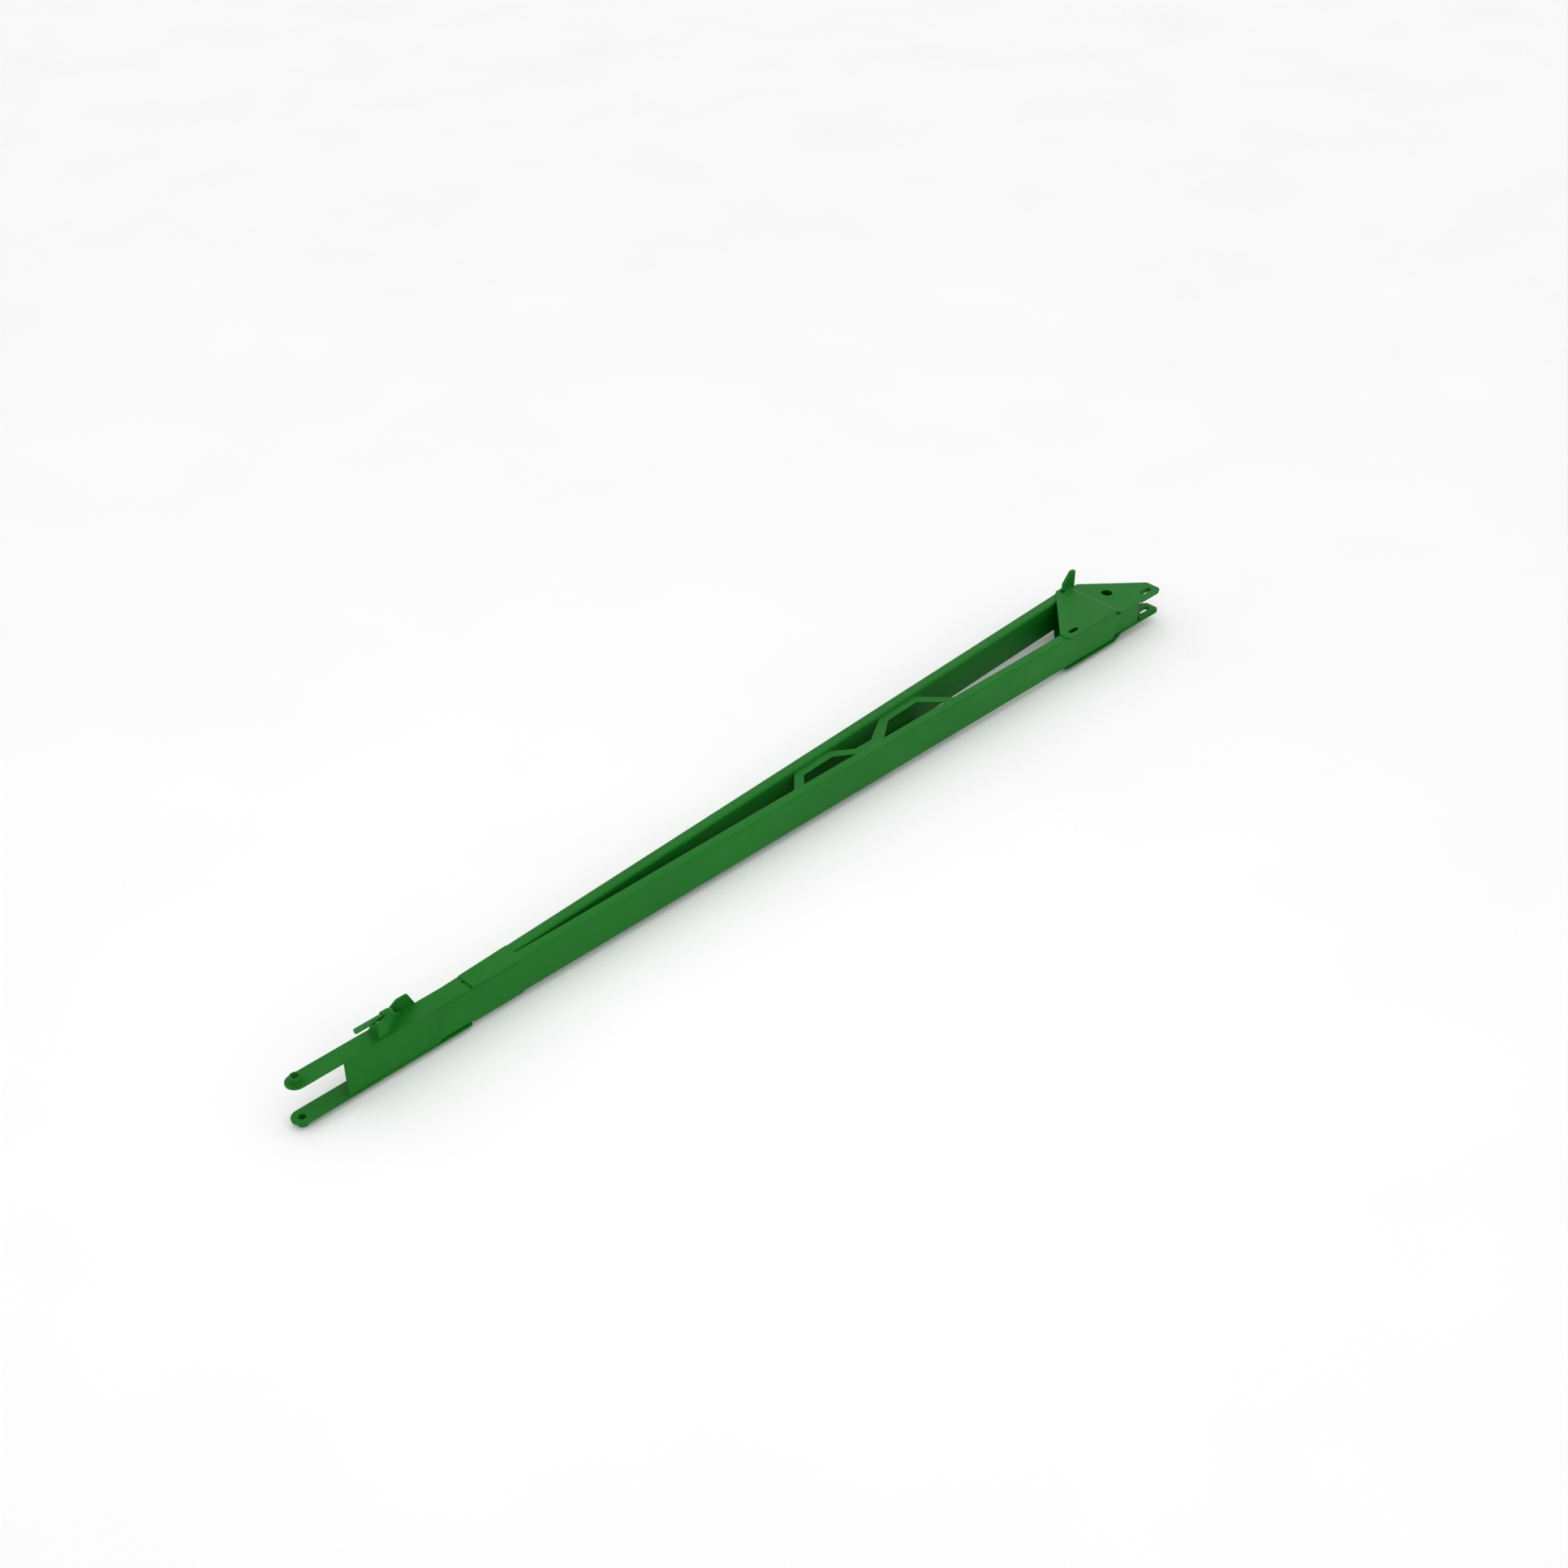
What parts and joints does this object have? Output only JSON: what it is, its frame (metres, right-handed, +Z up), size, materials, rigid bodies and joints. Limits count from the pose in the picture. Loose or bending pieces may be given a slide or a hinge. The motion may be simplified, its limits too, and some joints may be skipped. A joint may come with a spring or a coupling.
{
  "type": "welded a-frame boom arm",
  "caption": "Long welded boom arm: a vertical-pin fork, box-section legs that spread to a slotted two-ear head, and a sliding locking rod in a sleeve.",
  "frame": {"origin": "centre of the arm's bounding box, on the ground plane under it", "axes": "+X from the fork towards the head, along the near leg; +Y towards the leg that spreads away; +Z up, parallel to the fork's pin axis"},
  "size_m": [9.12, 0.5906, 0.5223],
  "materials": {
    "tube_paint": "semi-gloss green paint on rolled box section",
    "plate_paint": "semi-gloss green paint on cut plate",
    "rod_paint": "green paint, rubbed where it slides"
  },
  "bodies": {
    "arm": {"ear_pad_lower": "plate_paint", "ear_pad_upper": "plate_paint", "ear_plate_lower": "plate_paint", "ear_plate_upper": "plate_paint", "ear_web_far": "plate_paint", "ear_web_near": "plate_paint", "ear_web_slant": "plate_paint", "fork_boss_lower": "plate_paint", "fork_boss_upper": "plate_paint", "fork_bush_lower": "plate_paint", "fork_bush_upper": "plate_paint", "fork_diaphragm": "plate_paint", "fork_plate_lower": "plate_paint", "fork_plate_upper": "plate_paint", "fork_web_far": "plate_paint", "fork_web_near": "plate_paint", "head_end_plate": "plate_paint", "head_lug": "plate_paint", "head_plate_lower": "plate_paint", "head_plate_upper": "plate_paint", "lattice_plate_lower": "plate_paint", "lattice_plate_upper": "plate_paint", "leg_tube_far": "tube_paint", "leg_tube_near": "tube_paint", "rod_bracket_brace": "plate_paint", "rod_bracket_fin": "plate_paint", "rod_bracket_front": "plate_paint", "rod_bracket_saddle": "plate_paint", "rod_bracket_side": "plate_paint", "rod_sleeve": "plate_paint", "splice_plate_lower": "plate_paint", "splice_plate_upper": "plate_paint"},
    "rod": {"locking_rod": "rod_paint", "rod_clip": "rod_paint", "rod_collar": "rod_paint"}
  },
  "joints": [
    {"name": "rod_slide", "type": "slide", "parent": "arm", "child": "rod", "axis": [1, 0, 0], "range_m": [0, 0.135]}
  ]
}
